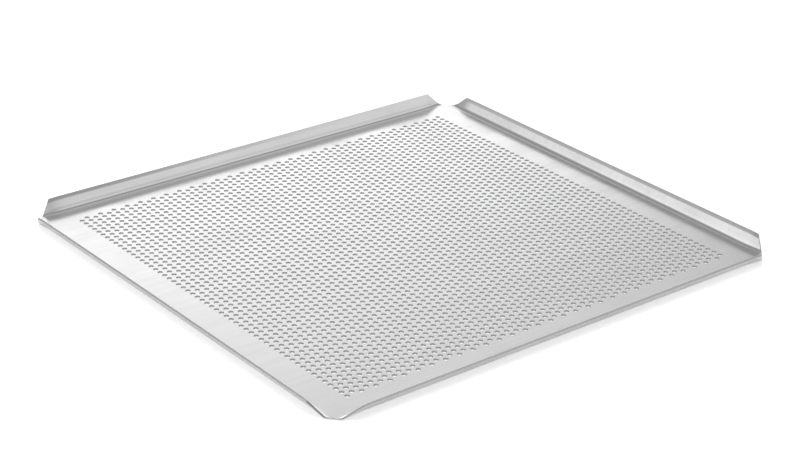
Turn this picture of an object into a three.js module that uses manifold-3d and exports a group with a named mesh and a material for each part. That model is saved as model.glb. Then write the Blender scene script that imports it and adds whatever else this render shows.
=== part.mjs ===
// A gastronorm 2/3 baking tray, pressed from one aluminium sheet.
//
// A flat floor is edged by four straight rims, which flare up and outwards and stop short of the
// corners. The blank's corners are cut off at a slant, so a rim's ends lean towards its middle and
// each corner of the floor is left as a small flat tab.
//
// The sheet is divided where it bends: the floor panel is one solid, and each rim, with its bend,
// is another. They meet face to face on the line where the bend starts. The floor's perforations,
// 3 mm holes 5 mm apart, are not cut in this solid model.
//
// Millimetres, +Z up. The origin is at the centre of the tray, on its underside. +X runs along the
// longer side, and the front of the tray is its -Y side.

import * as THREE from "three";
import { mergeVertices } from "three/addons/utils/BufferGeometryUtils.js";
import Module from "manifold-3d";

// Driving dimensions
const TRAY_LENGTH = 354; // over the rims' tips, along X
const TRAY_WIDTH = 325; // over the rims' tips, along Y
const TRAY_HEIGHT = 10; // from the underside to the rims' top edges
const SHEET = 1.2; // thickness of the sheet
const RIM_ANGLE = THREE.MathUtils.degToRad(53); // slope of a rim above the floor
const BEND_INSIDE_RADIUS = 2.5;
const BEND_STEPS = 10; // facets round each bend
const LONG_RIM_TIP = 313; // length of the front and back rims along their tips
const SHORT_RIM_TIP = 282; // length of the left and right rims along their tips
const END_LEAN = 0.87; // how far a rim's end runs outwards for each millimetre down its slope

const aluminium = { roughness: 0.38, metalness: 1 };
const FLOOR_COLOUR = "#dcdddd";
const RIM_COLOUR = "#d2d3d3";

// Sizes that follow from them
const bendOutsideRadius = BEND_INSIDE_RADIUS + SHEET;
const bendSetback = bendOutsideRadius * Math.tan(RIM_ANGLE / 2); // bend's start to the folds' corner
const rimSlope = (TRAY_HEIGHT - SHEET * Math.cos(RIM_ANGLE)) / Math.sin(RIM_ANGLE);
const rimReach = bendSetback + rimSlope * Math.cos(RIM_ANGLE); // bend's start to the tip, on plan
const floorHalfLength = TRAY_LENGTH / 2 - rimReach; // to the bends' start
const floorHalfWidth = TRAY_WIDTH / 2 - rimReach;

// A rim's own frame: X outwards from the bend's start, Y along the rim, Z up.
const upSlope = new THREE.Vector3(Math.cos(RIM_ANGLE), 0, Math.sin(RIM_ANGLE));
const offSlope = new THREE.Vector3(-Math.sin(RIM_ANGLE), 0, Math.cos(RIM_ANGLE));
const outerTip = new THREE.Vector3(bendSetback, 0, 0).addScaledVector(upSlope, rimSlope);
const innerTip = outerTip.clone().addScaledVector(offSlope, SHEET);
const endGrowth = END_LEAN * outerTip.dot(upSlope); // a rim's end, from its tip to the bend's start

const wasm = await Module();
wasm.setup();

function toManifold(geometry) {
  const bare = geometry.clone();
  bare.deleteAttribute("normal");
  bare.deleteAttribute("uv");
  const merged = mergeVertices(bare);
  return new wasm.Manifold(
    new wasm.Mesh({
      numProp: 3,
      vertProperties: new Float32Array(merged.getAttribute("position").array),
      triVerts: new Uint32Array(merged.getIndex().array),
    }),
  );
}

function toGeometry(solid) {
  const mesh = solid.getMesh();
  return new THREE.BufferGeometry()
    .setAttribute("position", new THREE.BufferAttribute(mesh.vertProperties, 3))
    .setIndex(new THREE.BufferAttribute(mesh.triVerts, 1));
}

// The sheet's section across a rim: the bend, then the straight slope up to the tip.
function rimSection() {
  const section = new THREE.Shape();
  const bottom = -Math.PI / 2;
  section.moveTo(0, 0);
  section.absarc(0, bendOutsideRadius, bendOutsideRadius, bottom, bottom + RIM_ANGLE, false);
  section.lineTo(outerTip.x, outerTip.z);
  section.lineTo(innerTip.x, innerTip.z);
  section.absarc(0, bendOutsideRadius, BEND_INSIDE_RADIUS, bottom + RIM_ANGLE, bottom, true);
  section.closePath();
  return section;
}

// A block whose inner face is the plane that a rim's end is cut on. side is 1 or -1 along Y.
function endCutter(tipLength, side) {
  const size = 40;
  const outwards = new THREE.Vector3(0, side, 0).addScaledVector(upSlope, END_LEAN).normalize();
  const along = new THREE.Vector3().crossVectors(outwards, offSlope);
  const turn = new THREE.Matrix4().makeBasis(outwards, offSlope, along);
  const tipCorner = outerTip.clone().setY((side * tipLength) / 2);
  const centre = tipCorner.addScaledVector(outwards, size / 2);
  return new THREE.BoxGeometry(size, size, size).applyMatrix4(turn.setPosition(centre));
}

function rimGeometry(tipLength) {
  const length = tipLength + 2 * endGrowth;
  const bar = new THREE.ExtrudeGeometry(rimSection(), {
    depth: length,
    curveSegments: BEND_STEPS,
    bevelEnabled: false,
  });
  bar.rotateX(Math.PI / 2).translate(0, length / 2, 0);
  const ends = [-1, 1].map((side) => toManifold(endCutter(tipLength, side)));
  return toGeometry(toManifold(bar).subtract(ends[0]).subtract(ends[1]));
}

// A rectangle that reaches the bends' start all round, with its corners cut from one rim's end
// to the next.
function floorGeometry() {
  const cutX = LONG_RIM_TIP / 2 + endGrowth;
  const cutY = SHORT_RIM_TIP / 2 + endGrowth;
  const outline = new THREE.Shape(
    [
      [1, 1],
      [-1, 1],
      [-1, -1],
      [1, -1],
    ].flatMap(([signX, signY]) => {
      const nearLongRim = new THREE.Vector2(signX * cutX, signY * floorHalfWidth);
      const nearShortRim = new THREE.Vector2(signX * floorHalfLength, signY * cutY);
      return signX === signY ? [nearShortRim, nearLongRim] : [nearLongRim, nearShortRim];
    }),
  );
  return new THREE.ExtrudeGeometry(outline, { depth: SHEET, bevelEnabled: false });
}

function makePart(name, geometry, color) {
  const material = new THREE.MeshStandardMaterial({ color, ...aluminium });
  const mesh = new THREE.Mesh(geometry, material);
  mesh.name = name;
  return mesh;
}

// turn is in quarter turns about Z, from the rim on the tray's +X side.
function makeRim(name, tipLength, turn, distance) {
  const rim = makePart(name, rimGeometry(tipLength), RIM_COLOUR);
  rim.position.x = distance;
  const side = new THREE.Group();
  side.rotation.z = (turn * Math.PI) / 2;
  side.add(rim);
  return side;
}

const tray = new THREE.Group();
tray.name = "baking_tray";
tray.add(makePart("floor_panel", floorGeometry(), FLOOR_COLOUR));
tray.add(makeRim("rim_right", SHORT_RIM_TIP, 0, floorHalfLength));
tray.add(makeRim("rim_back", LONG_RIM_TIP, 1, floorHalfWidth));
tray.add(makeRim("rim_left", SHORT_RIM_TIP, 2, floorHalfLength));
tray.add(makeRim("rim_front", LONG_RIM_TIP, 3, floorHalfWidth));

export default tray;
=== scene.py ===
"""The looks of the perforated baking tray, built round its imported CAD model.

The tray is one pressed aluminium sheet. Its floor is drawn as five strips, side by side, because
it has 3360 real holes, and each of its four rims is one piece. Metres, +Z up, the frame of the CAD
model: +X along the tray's longer side, and the floor's underside at Z = 0.
"""

import math
from collections import namedtuple

import bpy
import numpy as np
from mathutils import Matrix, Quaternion, Vector


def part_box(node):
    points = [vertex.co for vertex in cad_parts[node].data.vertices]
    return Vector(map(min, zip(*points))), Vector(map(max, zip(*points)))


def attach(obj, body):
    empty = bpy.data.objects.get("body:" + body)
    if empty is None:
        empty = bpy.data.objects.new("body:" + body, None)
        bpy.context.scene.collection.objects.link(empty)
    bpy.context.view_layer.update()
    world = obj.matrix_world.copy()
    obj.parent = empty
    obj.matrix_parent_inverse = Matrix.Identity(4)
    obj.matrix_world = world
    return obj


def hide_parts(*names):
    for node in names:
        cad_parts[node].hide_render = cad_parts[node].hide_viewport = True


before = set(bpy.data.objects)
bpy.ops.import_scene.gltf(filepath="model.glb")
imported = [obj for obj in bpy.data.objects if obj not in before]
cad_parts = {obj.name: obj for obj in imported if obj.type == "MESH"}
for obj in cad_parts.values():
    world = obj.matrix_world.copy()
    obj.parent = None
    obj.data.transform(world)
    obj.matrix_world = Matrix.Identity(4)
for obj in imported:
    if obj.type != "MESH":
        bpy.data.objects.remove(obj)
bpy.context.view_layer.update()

MM = 0.001
MICROMETRE = MM / 1000

# Sizes that the frame gives
floor_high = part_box("floor_panel")[1]
BEND_X = floor_high.x  # where the left and right rims start to bend
BEND_Y = floor_high.y  # where the front and back rims start to bend
SHEET = floor_high.z

# Perforation
ROWS = 60
HOLES_PER_ROW = 56
PITCH = 5 * MM
HALF = PITCH / 2
CROWN = 0.25 * MM  # by which the floor's middle stands above its edges
STRIPS = 5
RING_POINTS = 20  # in each circle of a hole
# A punched hole from its top edge, which the punch rolls over, down to the break-out below
ROLLED_EDGE = (  # radius, height above the underside
    (1.70 * MM, SHEET),
    (1.63 * MM, SHEET - 0.02 * MM),
    (1.57 * MM, SHEET - 0.06 * MM),
    (1.52 * MM, SHEET - 0.12 * MM),
    (1.50 * MM, SHEET - 0.20 * MM),
)
SHEARED_WALL = (
    (1.50 * MM, 0.25 * MM),
    (1.56 * MM, 0.0),
)
HOLE_PROFILE = ROLLED_EDGE + SHEARED_WALL

# Rims. Depths are measured up a rim's outer face, from the line where the bend starts.
RIM_ANGLE = math.radians(55.8)
CREASE_DEPTH = 5.1 * MM  # of the shallow line that the press leaves along the slope
CREASE_WIDTH = 0.8 * MM
TIP_BAND = 2.9 * MM  # the last of the slope lies flatter
TIP_BLEND = 0.9 * MM
EDGE_RADIUS = 0.22 * MM  # of the deburred edges
SEAM = 0.3 * MM  # flat strip between a rim's seam with the floor and its bend
FLARE_LENGTH = 18 * MM  # the last stretch of a rim, where its bend runs outwards
FLARE = 1.2 * MM  # how far it runs out by the end

# For each rim: quarter turns from the tray's +X side, distance of its bend from the centre, and
# half its length at the tip and where the bend starts. crease is by how many degrees the slope
# lies flatter on the shallow line, and is below zero where it lies steeper. The rest is how the
# rim came out of the press, at its first end, middle and last end: the bend's outer radius in
# millimetres, by how many degrees the slope lies flatter than RIM_ANGLE, by how many more the tip
# does, and the depth in millimetres.
Rim = namedtuple("Rim", "turns distance tip base crease radius flatter tip_flatter depth")
SHORT = {"distance": BEND_X, "tip": 141.0 * MM, "base": 152.6 * MM}
LONG = {"distance": BEND_Y, "tip": 156.5 * MM, "base": 167.1 * MM}
RIMS = {
    "rim_right": Rim(
        turns=0,
        **SHORT,
        crease=-4,
        radius=(4.4, 5.6, 6.2),
        flatter=(1.0, 1.0, 1.0),
        tip_flatter=(10, 9, 7),
        depth=(13.2, 12.9, 12.8),
    ),
    "rim_back": Rim(
        turns=1,
        **LONG,
        crease=6,
        radius=(4.0, 4.0, 4.0),
        flatter=(1.0, 1.0, 1.0),
        tip_flatter=(0, 6, 11),
        depth=(12.8, 12.5, 12.9),
    ),
    "rim_left": Rim(
        turns=2,
        **SHORT,
        crease=3,
        radius=(3.6, 3.6, 3.6),
        flatter=(0.5, 0.5, 3.5),
        tip_flatter=(4, 4, 4),
        depth=(12.5, 12.5, 12.7),
    ),
    "rim_front": Rim(
        turns=3,
        **LONG,
        crease=3,
        radius=(3.6, 3.6, 3.6),
        flatter=(7.0, 5.5, 4.0),
        tip_flatter=(4, 4, 4),
        depth=(12.5, 12.3, 12.3),
    ),
}

# Grid of a rim's two faces, in rows up its slope and columns along it
BEND_ROWS = 21
SLOPE_ROWS = 24
SLOPE_END = 0.035  # share of the slope that lies past the last of these rows
TIP_ROUND = 0.025  # share of the slope where its edge is rounded
MIDDLE_COLUMNS = 121
END_COLUMNS = 14
END_ZONE = 16 * MM  # nominal length past a rim's straight middle, squeezed to fit its slanting end
END_ZONE_AT_TIP = 2 * MM  # what is left of it at the tip
SUPPORT = 0.12 * MM  # from a rounded edge to the line that keeps the face beside it flat
CORE = 0.1 * MM  # least distance from the sheet's middle to its faces, where two edges are rounded
ROUND_ANGLES = np.linspace(0, math.pi / 2, 5)
ANGLE_SAMPLES = 160
LARGEST_RADIUS = max(max(rim.radius) for rim in RIMS.values()) * MM
BEND_END = RIM_ANGLE * LARGEST_RADIUS + FLARE  # depth past which no rim bends any more

# Order of the materials of every piece
SATIN, EDGE, SHEARED, DULL_SHADED = range(4)

# Noise in the sheet's finish, in cells per metre along X, Y and Z
STREAKS = (9, 260, 260)
HANDLING = (28, 28, 28)
GRAIN = (90, 2200, 2200)
STREAKS_SHARE = 0.03  # by which the streaks change the colour
HANDLING_SHARE = 0.25  # by which handling changes the roughness
GRAIN_STRENGTH = 0.03
GRAIN_HEIGHT = 0.05 * MM
CUT_BLUE = 1.005  # blue of a cut edge for each part of its grey
NOISE_LOW = 0.3  # most of a noise lies between these
NOISE_HIGH = 0.7

# Camera, as the grid of holes gives it
HEADING = math.radians(39.575)  # of the line of sight, from +Y towards +X
DROP = math.radians(25.550)  # of the line of sight, below the horizontal
ROLL = math.radians(1.68)
CAMERA_PLACE = (-766.15 * MM, -928.25 * MM, 577.35 * MM)
LENS = 95.57  # focal length, in millimetres like the width of the sensor
SENSOR_WIDTH = 36

# Surroundings
TABLE_HALF = 6.0
TABLE_GAP = 0.05 * MM  # keeps the table's surface clear of the tray's underside
OVERHEAD_PLACE = (-0.2, -0.1, 1.9)
OVERHEAD_SIZE = 1.6
OVERHEAD_POWER = 12
# Soft round patches of light: heading from +Y towards +X, height, inner and outer radius in
# degrees, and strength
SKY = (
    (0, 90, 80, 110, 0.3),
    (30, 5, 6, 30, 1.1),
    (35, 24, 6, 26, 0.22),
    (60, 48, 4, 20, 0.2),
    (138, 28, 6, 26, 0.42),
    (-55, 20, 5, 24, 0.65),
    (-34, 36, 4, 16, 0.15),
    (0, 14, 6, 26, 0.2),
    (-95, 20, 8, 40, 0.3),
    (-120, 40, 15, 45, 0.25),
    (-100, 68, 8, 32, 0.15),
)


# Camera ---------------------------------------------------------------------------------------


def make_camera():
    data = bpy.data.cameras.new("camera")
    data.sensor_width = SENSOR_WIDTH
    data.lens = LENS
    data.clip_start = 0.05
    data.clip_end = 50
    camera = bpy.data.objects.new("camera", data)
    bpy.context.scene.collection.objects.link(camera)
    sight = Vector(
        (
            math.sin(HEADING) * math.cos(DROP),
            math.cos(HEADING) * math.cos(DROP),
            -math.sin(DROP),
        )
    )
    level = sight.to_track_quat("-Z", "Y")
    camera.rotation_mode = "QUATERNION"
    camera.rotation_quaternion = level @ Quaternion((0, 0, 1), ROLL)
    camera.location = CAMERA_PLACE
    bpy.context.scene.camera = camera


# Pieces ---------------------------------------------------------------------------------------


def make_piece(name, points, faces, smooth, material_of_face, materials):
    """A mesh object of the tray, which rides on its only body. smooth and material_of_face have
    one value for each face."""
    mesh = bpy.data.meshes.new(name)
    mesh.from_pydata(points.tolist(), [], faces)
    mesh.polygons.foreach_set("use_smooth", np.array(smooth, dtype=bool))
    for material in materials:
        mesh.materials.append(material)
    mesh.polygons.foreach_set("material_index", np.array(material_of_face, dtype=np.int32))
    mesh.update()
    mesh.validate()
    piece = bpy.data.objects.new(name, mesh)
    bpy.context.scene.collection.objects.link(piece)
    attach(piece, "root")
    return piece


# Floor ----------------------------------------------------------------------------------------

CELL_OUTLINE = ((HALF, 0), (HALF, HALF), (-HALF, HALF), (-HALF, 0), (-HALF, -HALF), (HALF, -HALF))
LATTICE_X = ROWS * HALF  # half of the perforated field's length
LATTICE_Y = (HOLES_PER_ROW + 0.5) * HALF


def row_x(row):
    return (row + 0.5) * PITCH - LATTICE_X


def hole_y(row, hole):
    """Every other row is set half a pitch further along."""
    stagger = HALF / 2 if row % 2 else -HALF / 2
    return (hole + 0.5 - HOLES_PER_ROW / 2) * PITCH + stagger


def ring_place(x, y):
    """Which of the points round a hole lies towards x, y from its centre."""
    turn = math.atan2(y, x) / (2 * math.pi)
    return round(turn * RING_POINTS) % RING_POINTS


class Plan:
    """The floor's outline seen from above: points that are shared where they meet, and faces."""

    def __init__(self):
        self.points = []
        self.index = {}
        self.faces = []

    def point(self, x, y):
        key = (round(x / MICROMETRE), round(y / MICROMETRE))
        if key not in self.index:
            self.index[key] = len(self.points)
            self.points.append((x, y))
        return self.index[key]

    def face(self, *corners):
        self.faces.append([self.point(x, y) for x, y in corners])


def add_rectangle(plan, x0, x1, y0, y1):
    plan.face((x0, y0), (x1, y0), (x1, y1), (x0, y1))


def add_plain_margins(plan, rows):
    """The unperforated parts beside each row: a half cell at one end, and the margins."""
    for row in rows:
        x0 = row_x(row) - HALF
        x1 = row_x(row) + HALF
        y_cells = LATTICE_Y - HALF
        if row % 2:
            add_rectangle(plan, x0, x1, -LATTICE_Y, -y_cells)
        else:
            add_rectangle(plan, x0, x1, y_cells, LATTICE_Y)
        add_rectangle(plan, x0, x1, LATTICE_Y, BEND_Y - SEAM)
        add_rectangle(plan, x0, x1, SEAM - BEND_Y, -LATTICE_Y)


def add_end_margin(plan, side):
    """The plain margin and the two corner tabs at the tray's left (side -1) or right end (1)."""
    near = side * LATTICE_X
    far = side * (BEND_X - SEAM)
    low, high = min(near, far), max(near, far)
    for step in range(2 * HOLES_PER_ROW + 1):
        y0 = -LATTICE_Y + step * HALF
        add_rectangle(plan, low, high, y0, y0 + HALF)
    tab_x = side * LONG["base"]
    tab_y = SHORT["base"]
    edge_y = BEND_Y - SEAM
    for end in (-1, 1):
        corners = [
            (near, end * LATTICE_Y),
            (far, end * LATTICE_Y),
            (far, end * tab_y),
            (tab_x, end * edge_y),
            (near, end * edge_y),
        ]
        plan.face(*(corners if side * end > 0 else reversed(corners)))


def strip_points(plan, centres):
    """The plan's points on the top, then on the underside, then the rings of all the holes, from
    the highest ring to the lowest."""
    flat = np.array(plan.points)
    levels = [np.column_stack([flat, np.full(len(flat), z)]) for z in (SHEET, 0.0)]
    angles = np.arange(RING_POINTS) * 2 * np.pi / RING_POINTS
    circle = np.stack([np.cos(angles), np.sin(angles)], 1)
    for radius, z in HOLE_PROFILE:
        ring = (centres[:, None, :] + radius * circle).reshape(-1, 2)
        levels.append(np.column_stack([ring, np.full(len(ring), z)]))
    points = np.concatenate(levels)
    middle = (1 - (points[:, 0] / BEND_X) ** 2) * (1 - (points[:, 1] / BEND_Y) ** 2)
    points[:, 2] += CROWN * np.maximum(middle, 0)
    return points


def add_cell(top, bottom, corners, hole, count, ring_start):
    """The sheet round a hole: on each side six faces, from one corner of its cell to the next."""
    ring_at = [ring_place(x, y) for x, y in CELL_OUTLINE]
    first = hole * RING_POINTS
    for k, start in enumerate(ring_at):
        after = (k + 1) % len(ring_at)
        steps = (ring_at[after] - start) % RING_POINTS
        arc = [first + (start + j) % RING_POINTS for j in range(steps, -1, -1)]
        a, b = corners[k], corners[after]
        top.append([a, b] + [ring_start[0] + i for i in arc])
        bottom.append([count + b, count + a] + [ring_start[-1] + i for i in reversed(arc)])


def add_hole_inside(rolled, walls, hole, ring_start):
    """A band of faces from each of a hole's rings to the one below it."""
    first = hole * RING_POINTS
    for level, (upper, lower) in enumerate(zip(ring_start, ring_start[1:])):
        band = rolled if level + 1 < len(ROLLED_EDGE) else walls
        for j in range(RING_POINTS):
            i0 = first + j
            i1 = first + (j + 1) % RING_POINTS
            band.append((upper + i0, upper + i1, lower + i1, lower + i0))


def side_faces(top, count):
    """A strip's sides, under each edge of its top that has a face on one side only."""
    edges = {(f[k - 1], f[k]) for f in top for k in range(len(f))}
    return [
        (b, a, count + a, count + b)
        for a, b in edges
        if (b, a) not in edges and a < count and b < count
    ]


def floor_strip(number, materials):
    rows_each = ROWS // STRIPS
    rows = range(number * rows_each, (number + 1) * rows_each)
    centres = np.array([(row_x(r), hole_y(r, h)) for r in rows for h in range(HOLES_PER_ROW)])
    plan = Plan()
    cells = [[plan.point(x + dx, y + dy) for dx, dy in CELL_OUTLINE] for x, y in centres]
    add_plain_margins(plan, rows)
    if number == 0:
        add_end_margin(plan, -1)
    if number == STRIPS - 1:
        add_end_margin(plan, 1)

    count = len(plan.points)
    ring_length = len(centres) * RING_POINTS
    ring_start = [2 * count + level * ring_length for level in range(len(HOLE_PROFILE))]
    top = list(plan.faces)
    bottom = [[count + i for i in reversed(face)] for face in plan.faces]
    rolled = []
    walls = []
    for hole, corners in enumerate(cells):
        add_cell(top, bottom, corners, hole, count, ring_start)
        add_hole_inside(rolled, walls, hole, ring_start)
    groups = (  # faces, whether they are rounded, their material
        (top, False, SATIN),
        (bottom, False, DULL_SHADED),
        (rolled, True, SATIN),
        (walls, True, EDGE),
        (side_faces(top, count), False, SHEARED),
    )
    faces = [face for group, _, _ in groups for face in group]
    smooth = [rounded for group, rounded, _ in groups for _ in group]
    material_of_face = [material for group, _, material in groups for _ in group]
    name = f"floor_strip_{number + 1}"
    points = strip_points(plan, centres)
    piece = make_piece(name, points, faces, smooth, material_of_face, materials)
    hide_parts("floor_panel")


# Rims -----------------------------------------------------------------------------------------


def between_ends(values, share):
    """A value along a rim, from those at its first end (share -1), middle (0) and last end (1)."""
    first, middle, last = values
    return middle + (last - first) / 2 * share + ((first + last) / 2 - middle) * share**2


def rim_half_length(rim, depth, full_depth):
    return rim.base + (rim.tip - rim.base) * np.maximum(depth, 0) / full_depth


def smoothstep(t):
    t = np.clip(t, 0, 1)
    return t * t * (3 - 2 * t)


def sheet_angle(depth, radius, full_depth, slope, crease_slope, tip_slope, shift, ending):
    """Slope of the sheet above the floor. shift is how far the bend has run outwards there, and
    ending goes from 0 to 1 over the last stretch of the rim."""
    bend = np.clip((depth - shift) / radius, 0, slope)
    crease = crease_slope * np.exp(-(((depth - CREASE_DEPTH) / CREASE_WIDTH) ** 2)) * (1 - ending)
    tip = tip_slope * smoothstep((depth - full_depth + TIP_BAND) / TIP_BLEND)
    return bend - crease - tip


def sheet_line(depth, *shape):
    """Distance outwards, height and slope of the outer face at each depth."""
    part = (np.arange(ANGLE_SAMPLES) + 0.5) / ANGLE_SAMPLES
    angle = sheet_angle(depth[..., None] * part, *(values[..., None] for values in shape))
    out = depth * np.cos(angle).mean(-1)
    up = depth * np.sin(angle).mean(-1)
    return out, up, sheet_angle(depth, *shape)


def rim_rows():
    """Depth of each row of a rim's grid as far as BEND_END, how far it then lies before the tip as
    a share of the slope, and how far the row is set in from both faces."""
    bend = [(depth, 1.0, 0.0) for depth in (-SEAM, *np.linspace(0, BEND_END, BEND_ROWS))]
    shares = np.linspace(1, SLOPE_END, SLOPE_ROWS + 1)[1:]
    slope = [(BEND_END, share, 0.0) for share in shares]
    tip = [
        (BEND_END, TIP_ROUND * (1 - math.sin(a)), EDGE_RADIUS * (1 - math.cos(a)))
        for a in ROUND_ANGLES
    ]
    return np.array(bend + slope + tip).T


def rim_columns():
    """Each column of a rim's grid: its share of the straight middle from -1 to 1, how far it lies
    past that, and how far it is set in from both faces."""
    last = END_ZONE - EDGE_RADIUS
    end = [(past, 0.0) for past in np.linspace(0, last - SUPPORT, END_COLUMNS + 1)[1:]]
    end += [
        (END_ZONE - EDGE_RADIUS * (1 - math.sin(a)), EDGE_RADIUS * (1 - math.cos(a)))
        for a in ROUND_ANGLES
    ]
    middle = [(share, 0.0, 0.0) for share in np.linspace(-1, 1, MIDDLE_COLUMNS)]
    right = [(1.0, past, inset) for past, inset in end]
    left = [(-1.0, -past, inset) for past, inset in reversed(end)]
    return np.array(left + middle + right).T


def rim_faces(columns, rows):
    """Faces of a closed sheet: a grid for its inner side, one for its outer side, and the four
    edges between them. Also which faces are rounded, and their materials."""
    other = columns * rows
    faces, smooth, material_of_face = [], [], []

    def add(face, rounded, material):
        faces.append(face)
        smooth.append(rounded)
        material_of_face.append(material)

    for column in range(columns - 1):
        here, there = column * rows, (column + 1) * rows
        for r in range(rows - 1):
            quad = (here + r, here + r + 1, there + r + 1, there + r)
            add(quad, True, SATIN)
            add(tuple(other + i for i in reversed(quad)), True, DULL_SHADED)
        here_tip, there_tip = here + rows - 1, there + rows - 1
        add((here_tip, other + here_tip, other + there_tip, there_tip), True, EDGE)
        add((here, there, other + there, other + here), False, SATIN)
    last = (columns - 1) * rows
    for r in range(rows - 1):
        add((r + 1, r, other + r, other + r + 1), True, SHEARED)
        add((last + r, last + r + 1, other + last + r + 1, other + last + r), True, SHEARED)
    return faces, smooth, material_of_face


def turned(points, turns):
    """The points, turned about Z by a number of quarter turns."""
    angle = turns * math.pi / 2
    spin = np.array(
        [
            [math.cos(angle), math.sin(angle), 0],
            [-math.sin(angle), math.cos(angle), 0],
            [0, 0, 1],
        ]
    )
    return points @ spin


def rim_points(rim):
    """A rim's grid on its inner face, and then on its outer face: columns, rows, coordinates."""
    bend_depth, before_tip, row_inset = rim_rows()
    share, past, column_inset = (values[:, None] for values in rim_columns())
    straight = rim.tip - END_ZONE_AT_TIP
    full_depth = between_ends(rim.depth, share) * MM
    radius = between_ends(rim.radius, share) * MM
    depth = bend_depth + (1 - before_tip) * (full_depth - BEND_END)
    squeeze = (rim_half_length(rim, depth, full_depth) - straight) / END_ZONE
    along = share * straight + past * squeeze
    ending = smoothstep((np.abs(along) - rim.base + FLARE_LENGTH) / FLARE_LENGTH)
    slope = RIM_ANGLE - np.radians(between_ends(rim.flatter, share))
    tip_slope = np.radians(between_ends(rim.tip_flatter, share))
    crease_slope = math.radians(rim.crease)
    shape = (radius, full_depth, slope, crease_slope, tip_slope, FLARE * ending, ending)
    out, up, angle = sheet_line(depth, *(np.broadcast_to(v, depth.shape) for v in shape))
    inset = np.minimum(row_inset + column_inset, SHEET / 2 - CORE)
    return [
        np.stack([rim.distance + out - off * np.sin(angle), along, up + off * np.cos(angle)], -1)
        for off in (SHEET - inset, inset)
    ]


def rim_piece(name, materials):
    rim = RIMS[name]
    inner, outer = rim_points(rim)
    columns, rows, _ = inner.shape
    points = turned(np.concatenate([inner.reshape(-1, 3), outer.reshape(-1, 3)]), rim.turns)
    piece = make_piece(name + "_sheet", points, *rim_faces(columns, rows), materials)
    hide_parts(name)


# Materials ------------------------------------------------------------------------------------


def new_metal(name):
    material = bpy.data.materials.new(name)
    material.use_nodes = True
    nodes = material.node_tree.nodes
    shader = nodes["Principled BSDF"]
    shader.inputs["Metallic"].default_value = 1.0
    return material, nodes, material.node_tree.links, shader


def stretched_noise(nodes, links, stretch, detail):
    """Noise in the tray's own coordinates; stretch is how many cells there are in a metre along
    each axis."""
    place = nodes.new("ShaderNodeTexCoord")
    scale = nodes.new("ShaderNodeMapping")
    scale.inputs["Scale"].default_value = stretch
    noise = nodes.new("ShaderNodeTexNoise")
    noise.inputs["Scale"].default_value = 1.0
    noise.inputs["Detail"].default_value = detail
    links.new(place.outputs["Object"], scale.inputs["Vector"])
    links.new(scale.outputs["Vector"], noise.inputs["Vector"])
    return noise.outputs["Fac"]


def spread(nodes, links, noise, middle, share):
    """Turns a noise into values that lie up to a share of the middle value on either side of it."""
    limits = nodes.new("ShaderNodeMapRange")
    limits.inputs["From Min"].default_value = NOISE_LOW
    limits.inputs["From Max"].default_value = NOISE_HIGH
    limits.inputs["To Min"].default_value = (1 - share) * middle
    limits.inputs["To Max"].default_value = (1 + share) * middle
    links.new(noise, limits.inputs["Value"])
    return limits.outputs["Result"]


def make_sheet_material(name, grey, roughness):
    """Sheet metal with faint streaks, blurred marks of handling and a fine grain."""
    material, nodes, links, shader = new_metal(name)
    streaks = stretched_noise(nodes, links, STREAKS, 4.0)
    colour = spread(nodes, links, streaks, grey, STREAKS_SHARE)
    links.new(colour, shader.inputs["Base Color"])
    handling = stretched_noise(nodes, links, HANDLING, 3.0)
    blur = spread(nodes, links, handling, roughness, HANDLING_SHARE)
    links.new(blur, shader.inputs["Roughness"])
    grain = stretched_noise(nodes, links, GRAIN, 3.0)
    bump = nodes.new("ShaderNodeBump")
    bump.inputs["Strength"].default_value = GRAIN_STRENGTH
    bump.inputs["Distance"].default_value = GRAIN_HEIGHT
    links.new(grain, bump.inputs["Height"])
    links.new(bump.outputs["Normal"], shader.inputs["Normal"])
    return material


def make_cut_material(name, grey, roughness):
    """Metal where the sheet was cut, which has one plain colour."""
    material, _, _, shader = new_metal(name)
    shader.inputs["Base Color"].default_value = (grey, grey, grey * CUT_BLUE, 1)
    shader.inputs["Roughness"].default_value = roughness
    return material


def make_table_material():
    """White, and giving off a little light, so that it stays white beside the tray."""
    material = bpy.data.materials.new("white_table")
    material.use_nodes = True
    shader = material.node_tree.nodes["Principled BSDF"]
    shader.inputs["Base Color"].default_value = (0.93, 0.93, 0.93, 1)
    shader.inputs["Roughness"].default_value = 0.9
    shader.inputs["Specular IOR Level"].default_value = 0.2
    shader.inputs["Emission Color"].default_value = (1, 1, 1, 1)
    shader.inputs["Emission Strength"].default_value = 0.5
    return material


# Surroundings ---------------------------------------------------------------------------------


def make_table(material):
    corners = [(-1, -1), (1, -1), (1, 1), (-1, 1)]
    mesh = bpy.data.meshes.new("table")
    mesh.from_pydata([(x * TABLE_HALF, y * TABLE_HALF, 0) for x, y in corners], [], [(0, 1, 2, 3)])
    mesh.materials.append(material)
    table = bpy.data.objects.new("table", mesh)
    table.location.z = -TABLE_GAP
    bpy.context.scene.collection.objects.link(table)


def make_overhead_light():
    """A wide light that points at the tray. It lights the table, and the metal doesn't mirror it."""
    data = bpy.data.lights.new("overhead", "AREA")
    data.shape = "SQUARE"
    data.size = OVERHEAD_SIZE
    data.energy = OVERHEAD_POWER
    light = bpy.data.objects.new("overhead", data)
    bpy.context.scene.collection.objects.link(light)
    light.location = OVERHEAD_PLACE
    light.rotation_mode = "QUATERNION"
    light.rotation_quaternion = (-Vector(OVERHEAD_PLACE)).to_track_quat("-Z", "Y")
    light.visible_camera = False
    light.visible_glossy = False


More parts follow.
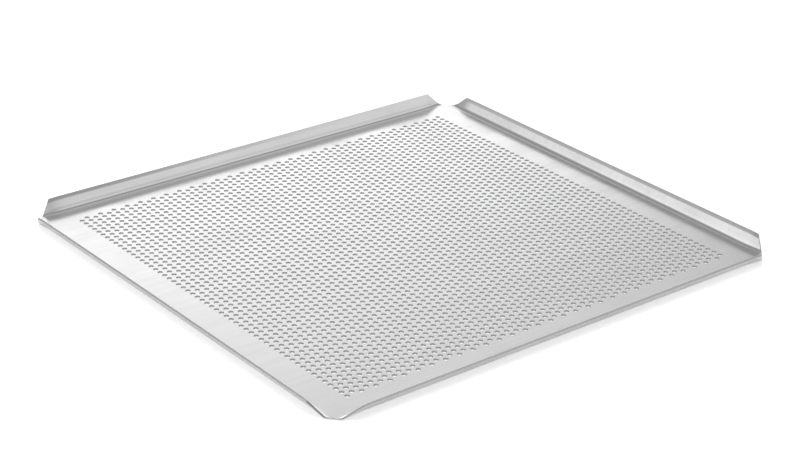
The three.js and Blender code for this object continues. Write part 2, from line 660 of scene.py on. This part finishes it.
def glow(nodes, links, direction, heading, height, inner, outer, strength):
    """One patch of SKY: its strength within the inner radius, and nothing past the outer one."""
    flat = math.cos(math.radians(height))
    dot = nodes.new("ShaderNodeVectorMath")
    dot.operation = "DOT_PRODUCT"
    dot.inputs[1].default_value = (
        math.sin(math.radians(heading)) * flat,
        math.cos(math.radians(heading)) * flat,
        math.sin(math.radians(height)),
    )
    edge = nodes.new("ShaderNodeMapRange")
    edge.interpolation_type = "SMOOTHSTEP"
    edge.inputs["From Min"].default_value = math.cos(math.radians(outer))
    edge.inputs["From Max"].default_value = math.cos(math.radians(inner))
    edge.inputs["To Min"].default_value = 0
    edge.inputs["To Max"].default_value = strength
    links.new(direction, dot.inputs[0])
    links.new(dot.outputs["Value"], edge.inputs["Value"])
    return edge.outputs["Result"]


def make_world():
    """The sum of all the patches of SKY."""
    world = bpy.data.worlds.new("studio")
    world.use_nodes = True
    nodes, links = world.node_tree.nodes, world.node_tree.links
    direction = nodes.new("ShaderNodeTexCoord").outputs["Generated"]
    total = None
    for patch in SKY:
        light = glow(nodes, links, direction, *patch)
        if total is not None:
            add = nodes.new("ShaderNodeMath")
            links.new(total, add.inputs[0])
            links.new(light, add.inputs[1])
            light = add.outputs["Value"]
        total = light
    links.new(total, nodes["Background"].inputs["Color"])
    bpy.context.scene.world = world


make_camera()
sheet_metal = make_sheet_material("satin_aluminium", grey=0.90, roughness=0.2)
# The sheet's underside and the rims' outer faces: rougher, and their grey is about halved as painted
# shade for the shaded table that these faces reflect.
dull_shaded_metal = make_sheet_material("dull_aluminium_painted_shade", grey=0.48, roughness=0.3)
# The holes' walls: rough cut metal, and their grey is darkened as painted shade inside the holes.
hole_shade_metal = make_cut_material("hole_wall_painted_shade", grey=0.42, roughness=0.5)
tip_metal = make_cut_material("deburred_edge", grey=0.84, roughness=0.4)
end_metal = make_cut_material("sheared_edge", grey=0.5, roughness=0.45)
for strip_number in range(STRIPS):
    floor_strip(strip_number, [sheet_metal, hole_shade_metal, end_metal, dull_shaded_metal])
for rim_name in RIMS:
    rim_piece(rim_name, [sheet_metal, tip_metal, end_metal, dull_shaded_metal])
make_table(make_table_material())
make_world()
make_overhead_light()
bpy.context.scene.view_settings.view_transform = "Standard"
